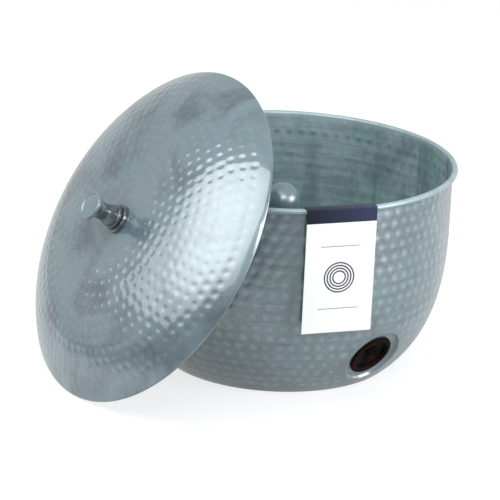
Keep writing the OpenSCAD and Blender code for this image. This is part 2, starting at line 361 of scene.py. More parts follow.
def makeLining(name, rimAt=None):
    # the inside of the sheet is flatter, with faint streaks that run down the wall; on the pot it
    # turns over the rim wire, where it turns paler, and the dents of one row near its top are darker
    material, tree, shader = newMaterial(name)
    where = objectSpot(tree)
    height = partsOf(tree, where)["Z"]
    # paler above the rim line
    paleTop = paleAbove(tree, height, rimAt, liningLook["rimShare"]) if rimAt else 0.0
    patina = patinaOf(tree, liningLook, paleTop)
    run = noise(tree, stretched(tree, where, (1.0, 1.0, 0.14)), 42.0, 3.0)
    dark = remap(tree, run, 0.50, 0.66, 0.0, liningLook["runs"])
    if rimAt:
        offRow = calc(tree, "ABSOLUTE", calc(tree, "SUBTRACT", height, rimAt - liningLook["darkRow"]))
        row = remap(tree, offRow, 5 * mm, 9 * mm, liningLook["darkRowShare"], 0.0)
        dark = calc(tree, "MAXIMUM", dark, times(tree, dentDip(tree), row))
        dark = times(tree, dark, calc(tree, "SUBTRACT", 1.0, paleTop))
    fill(tree, shader, {
        "Base Color": mixed(tree, dark, patina["Color"], liningLook["warm"]),
        "Roughness": calc(tree, "ADD", patina["Roughness"], liningLook["roughness"]),
        "Metallic": liningLook["metallic"]})
    return material


potLining = makeLining("potLining", wallLook["rimAt"])
lidLining = makeLining("lidLining")


def makeBareMetal(name, colour, dull, roughness, stretch):
    material, tree, shader = newMaterial(name)
    cloud = noise(tree, stretched(tree, objectSpot(tree), stretch), 180.0, 4.0)
    fill(tree, shader, {
        "Base Color": mixed(tree, cloud, colour, dull),
        "Roughness": remap(tree, cloud, 0.0, 1.0, roughness - 0.08, roughness + 0.1),
        "Normal": bumped(tree, cloud, 0.15, 0.2 * mm), "Metallic": 1.0})
    return material


zincPlate = makeBareMetal("zincPlate", (0.70, 0.71, 0.73, 1), (0.52, 0.53, 0.55, 1), 0.36, (1, 1, 1))
drawnWire = makeBareMetal("drawnWire", (0.60, 0.61, 0.62, 1), (0.42, 0.43, 0.44, 1), 0.30, (1, 1, 6))

rubberLook = {
    "dark": (0.003, 0.002, 0.002, 1), "brown": (0.021, 0.005, 0.003, 1), "smooth": 0.40, "rough": 0.56,
    "specular": 0.05,
}


def makeRubber():
    material, tree, shader = newMaterial("outletRubber")
    where = objectSpot(tree)
    cloud = noise(tree, where, 55.0, 4.0)
    dust = noise(tree, where, 900.0, 2.0)
    fill(tree, shader, {
        "Base Color": mixed(tree, remap(tree, cloud, 0.42, 0.68), rubberLook["dark"], rubberLook["brown"]),
        "Roughness": remap(tree, cloud, 0.3, 0.7, rubberLook["smooth"], rubberLook["rough"]),
        "Normal": bumped(tree, dust, 0.18, 0.2 * mm), "Specular IOR Level": rubberLook["specular"]})
    return material


outletRubber = makeRubber()
print("materials built")


# hammered sheet: dents in rings on a flat blank, which is then spun to its profile

def geoPlace(tree, kind, inputs=None, **settings):
    return place(tree, "GeometryNode" + kind, inputs, **settings).outputs[0]


def alongCurve(tree, curve, length):
    return place(tree, "GeometryNodeSampleCurve", {"Curves": curve, "Length": length}, mode="LENGTH",
                 use_all_curves=True).outputs


def onProfile(tree, curve, flat, side):
    # where a point of the flat blank lies on the spun sheet, and the outward direction there
    sample = alongCurve(tree, curve, vecCalc(tree, "LENGTH", flat))
    away = vecCalc(tree, "NORMALIZE", flat)
    spot, heading = partsOf(tree, sample["Position"]), partsOf(tree, sample["Tangent"])
    up = vecOf(tree, 0.0, 0.0, spot["Z"])
    position = vecCalc(tree, "ADD", scaledVec(tree, away, spot["X"]), up)
    sideways = scaledVec(tree, away, times(tree, heading["Z"], side))
    upwards = vecOf(tree, 0.0, 0.0, times(tree, heading["X"], side, -1.0))
    return position, vecCalc(tree, "NORMALIZE", vecCalc(tree, "ADD", sideways, upwards))


def stored(tree, geometry, name, value):
    return geoPlace(tree, "StoreNamedAttribute", {"Geometry": geometry, "Name": name, "Value": value},
                    data_type="FLOAT", domain="POINT")


def named(tree, name):
    return geoPlace(tree, "InputNamedAttribute", {"Name": name}, data_type="FLOAT")


def joined(tree, *parts):
    node = tree.nodes.new("GeometryNodeJoinGeometry")
    for part in parts:
        tree.links.new(part, node.inputs[0])
    return node.outputs[0]


def movedTo(tree, geometry, position):
    return geoPlace(tree, "SetPosition", {"Geometry": geometry, "Position": position})


def circleOf(tree, points, radius):
    return geoPlace(tree, "CurvePrimitiveCircle", {"Resolution": points, "Radius": radius}, mode="RADIUS")


def filled(tree, *curves):
    return geoPlace(tree, "FillCurve", {"Curve": joined(tree, *curves)}, mode="TRIANGLES")


def randomShare(tree, span, seed):
    return place(tree, "FunctionNodeRandomValue", {2: span[0], 3: span[1], "Seed": seed},
                 data_type="FLOAT").outputs[1]


def turnedBy(tree, angle):
    return place(tree, "FunctionNodeEulerToRotation", {0: vecOf(tree, 0.0, 0.0, angle)}).outputs[0]


def copiesOn(tree, points, shape, more=None):
    copies = geoPlace(tree, "InstanceOnPoints", {"Points": points, "Instance": shape, **(more or {})})
    return geoPlace(tree, "RealizeInstances", {"Geometry": copies})


def endTree(tree, geometry, material, result):
    whole = geoPlace(tree, "RealizeInstances", {"Geometry": geometry})
    whole = geoPlace(tree, "SetMaterial", {"Geometry": whole, "Material": material})
    tree.links.new(whole, result["Mesh"])
    return tree


# how unlike the hammer's blows are: slip of a row along itself, force, size, and force where it fades
blows = {"slip": (-0.18, 0.18), "force": (0.65, 1.15), "size": (0.84, 1.03), "faded": 0.25}


def buildHammer():
    tree, given, result = newGroup("hammeredBlank", "GeometryNodeTree", {
        "profile": "Geometry", "firstRow": 0.1, "lastRow": 0.2, "rowPitch": 0.01, "dentPitch": 0.01,
        "dentR": 0.004, "dentDepth": 0.0004, "dentSides": 8, "dentRings": 2, "softness": 1.6,
        "innerEdge": 0.1, "outerEdge": 0.3, "columns": 240, "fadeFrom": 0.0, "fadeTo": 0.001,
        "jitter": 0.0004, "side": 1.0, "outlet": (0.0, 0.0, 9.0), "outletClear": 0.04, "seed": 3,
        "material": "Material"}, {"Mesh": "Geometry"})
    split = place(tree, "GeometryNodeSeparateGeometry", {
        "Geometry": given["profile"], "Selection": named(tree, "isLoop")}, domain="POINT").outputs
    curve, loop = [geoPlace(tree, "MeshToCurve", {"Mesh": split[part]}) for part in ("Inverted", "Selection")]
    here, order = geoPlace(tree, "InputPosition"), geoPlace(tree, "InputIndex")

    # one ring of dents for each row, with as many as its real girth holds
    reach = calc(tree, "SUBTRACT", given["lastRow"], given["firstRow"])
    rows = calc(tree, "FLOOR", calc(tree, "ADD", calc(tree, "DIVIDE", reach, given["rowPitch"]), 1.01))
    line = geoPlace(tree, "MeshLine", {
        "Count": rows, "Start Location": vecOf(tree, given["firstRow"], 0.0, 0.0),
        "Offset": vecOf(tree, given["rowPitch"], 0.0, 0.0)}, mode="OFFSET")
    along = partsOf(tree, here)["X"]
    line = stored(tree, line, "run", along)
    line = stored(tree, line, "girth", partsOf(tree, alongCurve(tree, curve, along)["Position"])["X"])
    line = movedTo(tree, line, vecOf(tree, 0.0, 0.0, 0.0))
    girth, run = named(tree, "girth"), named(tree, "run")
    phase = calc(tree, "ADD", times(tree, order, 0.5), randomShare(tree, blows["slip"], given["seed"]))
    turn = times(tree, phase, calc(tree, "DIVIDE", given["dentPitch"], girth))
    rings = copiesOn(tree, line, circleOf(tree, 256, 1.0), {
        "Rotation": turnedBy(tree, turn), "Scale": vecOf(tree, girth, girth, 1.0)})
    rings = geoPlace(tree, "ResampleCurve", {"Curve": rings, "Length": given["dentPitch"]}, mode="LENGTH")
    points = geoPlace(tree, "CurveToPoints", {"Curve": rings}, mode="EVALUATED")

    # spread the rings over the blank, shake them a little, and leave the outlet free
    shake = place(tree, "FunctionNodeRandomValue", {0: (-1, -1, 0), 1: (1, 1, 0), "Seed": given["seed"]},
                  data_type="FLOAT_VECTOR").outputs[0]
    flat = scaledVec(tree, vecCalc(tree, "NORMALIZE", here), run)
    flat = vecCalc(tree, "ADD", flat, scaledVec(tree, shake, given["jitter"]))
    points = movedTo(tree, points, flat)
    spot = onProfile(tree, curve, here, given["side"])[0]
    near = calc(tree, "LESS_THAN", vecCalc(tree, "DISTANCE", spot, given["outlet"]), given["outletClear"])
    points = geoPlace(tree, "DeleteGeometry", {"Geometry": points, "Selection": near}, domain="POINT")
    fade = remap(tree, run, given["fadeFrom"], given["fadeTo"], blows["faded"], 1.0, "SMOOTHSTEP")
    force = times(tree, randomShare(tree, blows["force"], given["seed"]), fade)
    points = stored(tree, points, "force", force)

    # a dent is a shallow dish; its outline is cut out of the sheet around it
    dish = geoPlace(tree, "MeshCone", {
        "Vertices": given["dentSides"], "Side Segments": given["dentRings"], "Radius Top": 0.0,
        "Radius Bottom": given["dentR"], "Depth": 1.0}, fill_type="NONE")
    dish = stored(tree, dish, "rise", partsOf(tree, here)["Z"])
    dish = movedTo(tree, dish, vecCalc(tree, "MULTIPLY", here, (1, 1, 0)))
    outline = circleOf(tree, given["dentSides"], given["dentR"])
    size = randomShare(tree, blows["size"], given["seed"])
    widened = times(tree, size, calc(tree, "DIVIDE", run, girth))
    spots = partsOf(tree, here)
    facing = turnedBy(tree, calc(tree, "ARCTAN2", spots["Y"], spots["X"]))
    dishes, cuts = [copiesOn(tree, points, shape, {
        "Rotation": facing, "Scale": vecOf(tree, size, widened, 1.0)}) for shape in (dish, outline)]
    edges = [circleOf(tree, given["columns"], given[edge]) for edge in ("innerEdge", "outerEdge")]
    whole = joined(tree, filled(tree, cuts, loop, *edges), dishes)
    whole = geoPlace(tree, "MergeByDistance", {"Geometry": whole, "Distance": 0.02 * mm})

    # spin the blank to the profile and press the dents in
    level = calc(tree, "SUBTRACT", 1.0, named(tree, "rise"))
    bowl = calc(tree, "POWER", calc(tree, "SUBTRACT", 1.0, times(tree, level, level)), given["softness"])
    whole = stored(tree, whole, "dip", times(tree, bowl, named(tree, "force")))
    press = times(tree, named(tree, "dip"), given["dentDepth"], -1.0)
    spot, outward = onProfile(tree, curve, here, given["side"])
    whole = movedTo(tree, whole, vecCalc(tree, "ADD", spot, scaledVec(tree, outward, press)))
    return endTree(tree, whole, given["material"], result)


hammerTree = buildHammer()


def buildPanel():
    # a flat round panel with a hole in the middle and a ring of drain holes
    tree, given, result = newGroup("drilledPanel", "GeometryNodeTree", {
        "geometry": "Geometry", "panelR": 0.1, "columns": 240, "boltHole": 0.003, "drains": 0,
        "drainR": 0.004, "drainAt": 0.07, "baseRise": 0.0, "material": "Material"}, {"Mesh": "Geometry"})
    edge = circleOf(tree, given["columns"], given["panelR"])
    middle, drain = [circleOf(tree, 24, given[size]) for size in ("boltHole", "drainR")]
    angle = times(tree, calc(tree, "ADD", geoPlace(tree, "InputIndex"), 0.5),
                  calc(tree, "DIVIDE", 2 * math.pi, given["drains"]))
    x, y = [times(tree, calc(tree, part, angle), given["drainAt"]) for part in ("COSINE", "SINE")]
    points = geoPlace(tree, "Points", {"Count": given["drains"], "Position": vecOf(tree, x, y, 0.0)})
    panel = filled(tree, edge, middle, copiesOn(tree, points, drain))
    lift = vecOf(tree, 0.0, 0.0, given["baseRise"])
    return endTree(tree, geoPlace(tree, "SetPosition", {"Geometry": panel, "Offset": lift}),
                   given["material"], result)


panelTree = buildPanel()


def runsOf(points):
    runs = [0.0]
    for a, b in zip(points, points[1:]):
        runs.append(runs[-1] + math.dist(a, b))
    return runs


def atRun(points, runs, run):
    for i in range(1, len(runs)):
        if run <= runs[i]:
            t = (run - runs[i - 1]) / (runs[i] - runs[i - 1])
            a, b = points[i - 1], points[i]
            return (a[0] + (b[0] - a[0]) * t, a[1] + (b[1] - a[1]) * t)
    return points[-1]


def plainRings(profile, runs, low, high, columns):
    # the part of a profile between two lengths, turned without dents
    inside = [p for p, run in zip(profile, runs) if low + 1e-6 < run < high - 1e-6]
    outline = [atRun(profile, runs, low)] + inside + [atRun(profile, runs, high)]
    bm = bmesh.new()
    bridgeAll(bm, [addCircle(bm, r, z, columns) for r, z in outline], False)
    return meshObject("plainRings", bm)


def hammeredParts(piece, profile, loop, start, first, last, values):
    # a band of dents along the profile from first to last, and the plain rings before and after it; the
    # profile and the outlet's loop go in as edges, and the nodes tell them apart by isLoop
    bm = bmesh.new()
    marks = []
    for chain, closed in ((profile, False), (loop, True)):
        verts = [bm.verts.new((x, y, 0) if closed else (x, 0, y)) for x, y in chain]
        marks += [float(closed)] * len(verts)
        for a, b in zip(verts, verts[1:] + (verts[:1] if closed else [])):
            bm.edges.new((a, b))
    blank = meshObject("bandOfDents", bm)
    blank.data.attributes.new("isLoop", "FLOAT", "POINT").data.foreach_set("value", marks)
    rows = math.floor((last - first) / piece["rowPitch"])
    inner, outer = first - piece["dentR"] - piece["beforeDents"], last + piece["dentR"] + piece["afterDents"]
    band = runNodes(blank, hammerTree, {
        **piece, "firstRow": first, "lastRow": last, "rowPitch": (last - first) / rows,
        "innerEdge": inner, "outerEdge": outer, **values})
    runs = runsOf(profile)
    return [band, plainRings(profile, runs, start, inner, piece["columns"]),
            plainRings(profile, runs, outer, runs[-1], piece["columns"])]


def sheetFrom(name, parts, thickness, outside, inside, outwardAt, extra=None):
    # welds the parts, makes every face look the way outwardAt says, then gives the sheet its
    # thickness inwards
    bm = bmesh.new()
    for part in parts:
        bm.from_mesh(part.data)
        bpy.data.objects.remove(part)
    if extra:
        extra(bm)
    bmesh.ops.remove_doubles(bm, verts=bm.verts, dist=0.08 * mm)
    bmesh.ops.recalc_face_normals(bm, faces=bm.faces)
    voters = list(bm.faces)[::37]
    votes = sum(1 if f.normal.dot(outwardAt(f.calc_center_median())) > 0 else -1 for f in voters)
    if votes < 0:
        bmesh.ops.reverse_faces(bm, faces=bm.faces)
    obj = meshObject(name, bm)
    obj.data.materials.clear()    # this also puts every face back in the first slot
    for material in (outside, inside):
        obj.data.materials.append(material)
    shell = obj.modifiers.new("sheet", "SOLIDIFY")
    shell.thickness = thickness
    shell.offset = -1
    shell.material_offset = 1
    applyModifiers(obj)
    smoothShade(obj, 35)
    print(name, "has", len(obj.data.polygons), "faces")
    return obj


# pot

pot = {
    "rimR": 210 * mm, "height": 250 * mm, "sheet": 1 * mm, "beadD": 7 * mm, "wireD": 4.7 * mm,
    "curveH": 184 * mm, "squareness": 2.6, "baseR": 140 * mm, "footWidth": 16 * mm,
    "baseRise": 9 * mm, "riseWidth": 8 * mm, "footRound": 2 * mm, "baseRound": 2.5 * mm,
    "drains": 4, "drainR": 4 * mm, "drainAt": 70 * mm,
    "boltHole": 3.3 * mm, "columns": 192, "curveSteps": 110,
    "rowPitch": 13.8 * mm, "dentPitch": 15.6 * mm, "dentR": 6.1 * mm, "dentDepth": 0.85 * mm,
    "dentSides": 12, "dentRings": 2, "softness": 1.4, "jitter": 0.6 * mm,
    "topMargin": 16.5 * mm, "bottomMargin": 2.8 * mm, "firstGap": 3 * mm,
    "beforeDents": 2.2 * mm, "afterDents": 1.6 * mm, "seed": 7,
}
wallR = pot["rimR"] - pot["beadD"] + pot["sheet"]
beadC = (pot["rimR"] - pot["beadD"] / 2, pot["height"] - pot["beadD"] / 2)
bowlEnd = math.acos((pot["baseR"] / wallR) ** (pot["squareness"] / 2))
bowlDepth = pot["curveH"] / math.sin(bowlEnd) ** (2 / pot["squareness"])


def bowlPoint(a):
    k = 2 / pot["squareness"]
    return (wallR * math.cos(a) ** k, pot["curveH"] - bowlDepth * math.sin(a) ** k)


footIn = pot["baseR"] - pot["footWidth"]
panelR = footIn - pot["riseWidth"]
baseCorners = [(panelR - 4 * mm, pot["baseRise"], 0), (panelR, pot["baseRise"], pot["footRound"]),
               (footIn, 0, pot["footRound"]), (pot["baseR"], 0, pot["baseRound"])]
bowlRun = [bowlPoint(bowlEnd * (i / pot["curveSteps"]) ** 1.3) for i in range(pot["curveSteps"], -1, -1)][6:]
wallTop = [(wallR, pot["curveH"] + (beadC[1] - pot["curveH"]) * i / 8) for i in range(1, 8)]
beadRun = arcPoints(beadC, pot["beadD"] / 2 - pot["sheet"], 180, -126, 20)
potProfile = softened(baseCorners + [bowlRun[0] + (0,)], closed=False)[:-1] + bowlRun + wallTop + beadRun
potRuns = runsOf(potProfile)

mount = next(m for m in frame["record"]["mounts"] if m["name"] == "hose_outlet")
outletAxis = Vector(mount["axis"]).normalized()
outletAt = Vector(mount["pos_m"]) + outletAxis * 10 * mm    # the mount lies 10 mm behind the bowl's face
outletSide = Vector((0, 0, 1)).cross(outletAxis).normalized()
outletUp = outletAxis.cross(outletSide)

seat = {
    "depth": 8 * mm, "holeR": 25 * mm, "points": 96, "clear": 47 * mm,
    # ring radius in mm, share of the way down to the seat's flat, height in mm of the pressed bead
    "rings": ((41.5, 0, 0), (40.3, 0, 0.05), (39.4, 0, 0.16), (38.6, 0.03, 0.2), (37.9, 0.2, 0.12),
              (37.2, 0.5, 0.03), (36.5, 0.8, 0), (35.7, 0.96, 0), (34.5, 1, 0), (31, 1, 0), (27.5, 1, 0),
              (25, 1, 0)),
}
seatEdge = seat["rings"][0][0] * mm


def bowlSpot(run, angle):
    r, z = atRun(potProfile, potRuns, run)
    return Vector((r * math.cos(angle), r * math.sin(angle), z))


def fromOutlet(point):
    d = point - outletAt
    return d.dot(outletSide), d.dot(outletUp), d.dot(outletAxis)


def seatLoop():
    # walks out from the outlet over the bowl until the seat's edge is reached
    startR = math.hypot(outletAt.x, outletAt.y)
    startAngle = math.atan2(outletAt.y, outletAt.x)
    nearest = min(range(len(potProfile)), key=lambda i: math.dist(potProfile[i], (startR, outletAt.z)))
    spots, flats = [], []
    for i in range(seat["points"]):
        phi = 2 * math.pi * i / seat["points"]
        low, high = 0.0, seatEdge * 1.8
        for _ in range(40):
            k = (low + high) / 2
            run, angle = potRuns[nearest] + k * math.cos(phi), startAngle + k * math.sin(phi) / startR
            u, v, _ = fromOutlet(bowlSpot(run, angle))
            low, high = (k, high) if math.hypot(u, v) < seatEdge else (low, k)
        spots.append(bowlSpot(run, angle))
        flats.append((run * math.cos(angle), run * math.sin(angle)))
    return spots, flats


def addSeat(bm, spots):
    rings = []
    for radius, share, lift in seat["rings"]:
        k = radius * mm / seatEdge
        ring = []
        for u, v, w in map(fromOutlet, spots):
            # the bowl's face falls off about as the square of the distance
            height = w * k * k * (1 - share) - seat["depth"] * share + lift * mm if rings else w
            ring.append(bm.verts.new(outletAt + outletSide * u * k + outletUp * v * k + outletAxis * height))
        rings.append(ring)
    bridgeAll(bm, rings, False)


def runAtHeight(z):
    return next(run for p, run in zip(potProfile, potRuns) if p[1] >= z and p[0] > pot["baseR"])


def makePot():
    spots, flats = seatLoop()
    firstRow = runAtHeight(pot["bottomMargin"]) + pot["dentR"] + pot["firstGap"]
    lastRow = runAtHeight(pot["height"] - pot["topMargin"])
    band, foot, rim = hammeredParts(pot, potProfile, flats, potRuns[1], firstRow, lastRow, {
        "outlet": tuple(outletAt), "outletClear": seat["clear"], "material": wallSteel})
    panel = runNodes(meshObject("panel", bmesh.new()), panelTree, {
        **pot, "panelR": potProfile[1][0], "material": wallSteel})

    def outward(p):
        if p.z >= pot["curveH"]:
            return Vector((0, 0, 0))
        return Vector((p.x, p.y, -0.02)) if math.hypot(p.x, p.y) > panelR else Vector((0, 0, -1))

    shell = sheetFrom("pot_shell_hammered", [band, panel, foot, rim], pot["sheet"], wallSteel, potLining,
                      outward, lambda bm: addSeat(bm, spots))
    finishPiece(shell, "pot_shell", "pot")


def makeBeadWire(node, body, centre, thickness, at=None):
    wire = spun(node + "_drawn", arcPoints(centre, thickness / 2, 0, 345, 23), 240)
    finishPiece(wire, node, body, drawnWire, at)


makePot()
makeBeadWire("rim_wire", "pot", beadC, pot["wireD"])


# centre post and the bolt under it

post = {
    "r": 23 * mm, "top": 217 * mm, "sheet": 1 * mm, "plate": 4 * mm, "plateGap": 0.1 * mm,
    "boltR": 3 * mm, "nutBoreR": 3.1 * mm, "headFlats": 10 * mm, "headHeight": 4 * mm,
    "nutHeight": 5 * mm, "chamfer": 0.8 * mm, "tipChamfer": 0.6 * mm,
    "washerR": 9 * mm, "washerT": 1.6 * mm, "gap": 0.3 * mm, "boltEnd": 2 * mm, "sides": 48,
}
postFoot = pot["baseRise"] + pot["sheet"]


def makePost():
    capC = (0, post["top"] - post["r"])
    inR = post["r"] - post["sheet"]
    levels = [postFoot + (capC[1] - postFoot) * i / 20 for i in range(20)]
    outline = [(post["r"], z) for z in levels] + arcPoints(capC, post["r"], 0, 90, 28)
    outline += arcPoints(capC, inR, 90, 0, 28) + [(inR, z) for z in reversed(levels)]
    tube = spun("center_post_domed", outline, 160)
    finishPiece(tube, "center_post", "pot", postSteel)


def makeWasher(name, node, body, inner, outer, low, high, edge, at=None):
    corners = [(inner, low, edge), (outer, low, edge), (outer, high, edge), (inner, high, edge)]
    finishPiece(spun(name, softened(corners, 3)), node, body, zincPlate, at)


def addHexagon(bm, low, high):
    # rings of a hexagon whose corners are turned down to a cone at both faces
    inscribed, chamfer = post["headFlats"] / 2, post["chamfer"]
    corner = inscribed / math.cos(math.pi / 6)
    rings = []
    for z, limit in ((low, corner - chamfer), (low + chamfer / 2, corner), (high - chamfer / 2, corner),
                     (high, corner - chamfer)):
        ring = []
        for a in [2 * math.pi * k / post["sides"] for k in range(post["sides"])]:
            across = (a + math.pi / 6) % (math.pi / 3) - math.pi / 6
            r = min(inscribed / math.cos(math.pi / 6 - abs(across)), limit)
            ring.append(bm.verts.new((r * math.cos(a), r * math.sin(a), z)))
        rings.append(ring)
    return rings


def makeHardware():
    holeR = post["boltR"] + post["gap"]
    headTop = pot["baseRise"] - post["washerT"]
    nutLow = postFoot + post["plate"]
    nutTop = nutLow + post["nutHeight"]
    tip = nutTop + post["boltEnd"]
    makeWasher("post_plate_zinc", "post_plate", "pot", holeR, post["r"] - post["sheet"] - post["plateGap"],
               postFoot, nutLow, 0.4 * mm)
    makeWasher("post_washer_zinc", "post_washer", "pot", holeR, post["washerR"], headTop, pot["baseRise"],
               0.25 * mm)

    bm = bmesh.new()
    rings = addHexagon(bm, headTop - post["headHeight"], headTop)
    for r, z in ((post["boltR"], headTop), (post["boltR"], tip - post["tipChamfer"]),
                 (post["boltR"] - post["tipChamfer"], tip)):
        rings.append(addCircle(bm, r, z, post["sides"]))
    bridgeAll(bm, rings, False)
    for cap in (rings[0], rings[-1]):
        bm.faces.new(cap)
    finishPiece(closedShape("post_bolt_zinc", bm, 30), "post_bolt", "pot", zincPlate)

    bm = bmesh.new()
    rings = addHexagon(bm, nutLow, nutTop)
    rings += [addCircle(bm, post["nutBoreR"], z, post["sides"]) for z in (nutTop, nutLow)]
    bridgeAll(bm, rings, True)
    finishPiece(closedShape("post_nut_zinc", bm, 30), "post_nut", "pot", zincPlate)


makePost()
makeHardware()
print("post and its bolt built")


# hose outlet

grommet = {
    "flangeR": 28.5 * mm, "flangeT": 3 * mm, "boreR": 21 * mm, "neckGap": 0.2 * mm, "tipR": 1.3 * mm,
    "slit": 0.25 * mm, "web": 2 * mm, "webAt": 1.9 * mm, "webEdge": 0.35 * mm, "webOverlap": 0.6 * mm,
    "lip": 2.6 * mm, "sag": 5.0 * mm, "curl": 0.5 * mm,
    "flaps": 8, "leastBend": 0.55, "mostBend": 1.45, "seed": 5,
}
outletPlace = Matrix.Translation(outletAt) @ Matrix((outletSide, outletUp, outletAxis)).transposed().to_4x4()


def buildFlaps():
    # turns one flap round the bore, each bent a little differently
    tree, given, result = newGroup("ringOfFlaps", "GeometryNodeTree", {
        "flap": "Geometry", "flaps": 8, "leastBend": 0.5, "mostBend": 1.5, "seed": 1,
        "material": "Material"}, {"Mesh": "Geometry"})
    points = geoPlace(tree, "Points", {"Count": given["flaps"]})
    turn = times(tree, calc(tree, "ADD", geoPlace(tree, "InputIndex"), 0.5),
                 calc(tree, "DIVIDE", 2 * math.pi, given["flaps"]))
    bend = randomShare(tree, (given["leastBend"], given["mostBend"]), given["seed"])
    copies = copiesOn(tree, points, given["flap"], {
        "Rotation": turnedBy(tree, turn), "Scale": vecOf(tree, 1.0, 1.0, bend)})
    return endTree(tree, copies, given["material"], result)


def addFlap(bm):
    # a wedge from the bore to near the middle, which sags and curls up at its sides
    wedge = math.pi / grommet["flaps"]
    outer = grommet["boreR"] + grommet["webOverlap"]
    rows = []
    for t in [i / 10 for i in range(11)]:
        r = outer - (outer - grommet["tipR"]) * t
        gap = grommet["slit"] / 2 / r * min(1.0, t * 6)
        row = []
        for side in [j / 4 - 1 for j in range(9)]:
            a = (wedge - gap) * side
            z = grommet["curl"] * side ** 2 * t - grommet["sag"] * t ** 1.6
            row.append(bm.verts.new((r * math.cos(a), r * math.sin(a), z)))
        rows.append(row)
    columns = list(zip(*rows))
    for left, right in zip(columns, columns[1:]):
        bridge(bm, left, right, closed=False)


def makeGrommet():
    flange, bore = grommet["flangeR"], grommet["boreR"]
    face = -seat["depth"]
    back = face - pot["sheet"]
    neck = seat["holeR"] - grommet["neckGap"]
    top, foot = face + grommet["flangeT"], back - grommet["flangeT"]
    ring = spun("grommetRing", softened([
        (bore, foot, 0.8 * mm), (flange, foot, 1.2 * mm), (flange, back, 0.3 * mm), (neck, back, 0.2 * mm),
        (neck, face, 0.2 * mm), (flange, face, 0.3 * mm), (flange, top - 0.6 * mm, 1.6 * mm),
        (flange - grommet["lip"], top, 1.4 * mm), (bore + grommet["lip"], top, 1.2 * mm),
        (bore + 1.6 * mm, top - 1.5 * mm, 0.6 * mm), (bore, top - 2.2 * mm, 0.9 * mm)], 5), 144, 50)

    bm = bmesh.new()
    addFlap(bm)
    flaps = runNodes(meshObject("flaps", bm), buildFlaps(), {**grommet, "material": outletRubber})
    thick = flaps.modifiers.new("web", "SOLIDIFY")
    thick.thickness = grommet["web"]
    thick.offset = 0
    soft = flaps.modifiers.new("soft", "BEVEL")
    soft.width = grommet["webEdge"]
    soft.segments = 2
    applyModifiers(flaps)
    flaps.data.transform(Matrix.Translation((0, 0, foot + grommet["webAt"])))
    bm = bmesh.new()
    for part in (ring, flaps):
        bm.from_mesh(part.data)
        bpy.data.objects.remove(part)
    whole = meshObject("hose_grommet_rubber", bm)
    smoothShade(whole, 50)
    finishPiece(whole, "hose_grommet", "pot", outletRubber, outletPlace)


makeGrommet()
print("hose outlet built")


# lid, made flat at the origin and then leaned against the rim

lid = {
    "r": 209 * mm, "height": 50 * mm, "flatness": 4.2, "sheet": 0.8 * mm, "edgeD": 4.4 * mm,
    "wireD": 2.5 * mm, "screwHole": 2.8 * mm, "columns": 256, "curveSteps": 120,
    "rowPitch": 12.6 * mm, "dentPitch": 13.4 * mm, "dentR": 5.6 * mm, "dentDepth": 0.43 * mm,
    "dentSides": 14, "dentRings": 3, "softness": 1.5, "jitter": 0.5 * mm,
    "firstRing": 40 * mm, "lastRing": 201 * mm, "beforeDents": 3.4 * mm, "afterDents": 3 * mm,
    "fadeFrom": 20 * mm, "fadeTo": 80 * mm, "seed": 11, "side": -1.0,
    "lean": 60, "shift": 20 * mm,
}
edgeR = lid["edgeD"] / 2
edgeC = (lid["r"] - edgeR, 0)
slope = math.atan(lid["height"] * lid["flatness"] / lid["r"])
edgeJoin = (edgeC[0] + edgeR * math.sin(slope), edgeR * math.cos(slope))
domeR = edgeJoin[0] / (1 - edgeJoin[1] / lid["height"]) ** (1 / lid["flatness"])
tip = Vector(next(j for j in frame["joints"] if j["name"] == "lid_tip")["pos_m"])
lean = math.radians(lid["lean"])
lidCentre = Vector((tip.x + edgeC[0] * math.cos(lean), -lid["shift"], tip.z + edgeC[0] * math.sin(lean)))
lidPlace = Matrix.Translation(lidCentre) @ Matrix.Rotation(-lean, 4, "Y")


def makeLid():
    hole, steps = lid["screwHole"], lid["curveSteps"]
    radii = [hole + (edgeJoin[0] - hole) * i / steps for i in range(steps)]
    dome = [(r, lid["height"] * (1 - (r / domeR) ** lid["flatness"])) for r in radii]
    curl = arcPoints(edgeC, edgeR, 90 - math.degrees(slope), -244, 26)
    parts = hammeredParts(lid, [(0, lid["height"])] + dome + curl, [], hole, lid["firstRing"],
                          lid["lastRing"], {"material": lidSteel})

    def outward(p):
        return Vector((0, 0, 1)) if math.hypot(p.x, p.y) < lid["r"] * 0.9 else Vector((0, 0, 0))

    shell = sheetFrom("lid_shell_hammered", parts, lid["sheet"], lidSteel, lidLining, outward)
    finishPiece(shell, "lid_shell", "lid", at=lidPlace)


makeLid()
makeBeadWire("lid_edge_wire", "lid", edgeC, lid["wireD"], lidPlace)


# knob with its collar, screw and washer

knob = {
    "collarR": 18 * mm, "collarH": 5 * mm, "collarStep": 1.6 * mm, "footR": 15 * mm, "footH": 6 * mm,
    "neckR": 10.5 * mm, "headR": 17 * mm, "headH": 4 * mm, "height": 44 * mm, "dish": 1 * mm,
    "edge": 1 * mm, "waist": 0.45, "flare": 2.4, "screwR": 2.5 * mm, "screwIn": 12 * mm,
    "screwTip": 0.8 * mm, "screwHeadR": 4.8 * mm, "screwHeadH": 3 * mm, "slot": 0.8 * mm,
    "slotR": 1.6 * mm, "washerR": 10 * mm, "washerT": 1.2 * mm, "gap": 0.3 * mm,
}
knobPlace = lidPlace @ Matrix.Translation((0, 0, lid["height"]))
# dark and stain are the painted shade and darker patina below the knob's head
knobLook = {
    **wallLook, "dark": (0.062, 0.088, 0.100, 1), "stain": (0.115, 0.160, 0.175, 1), "scale": 30.0,
    "streaks": 0.0, "wornShare": 0.12, "roughness": 0.24, "coatIor": 1.9, "coatRoughness": 0.12,
}


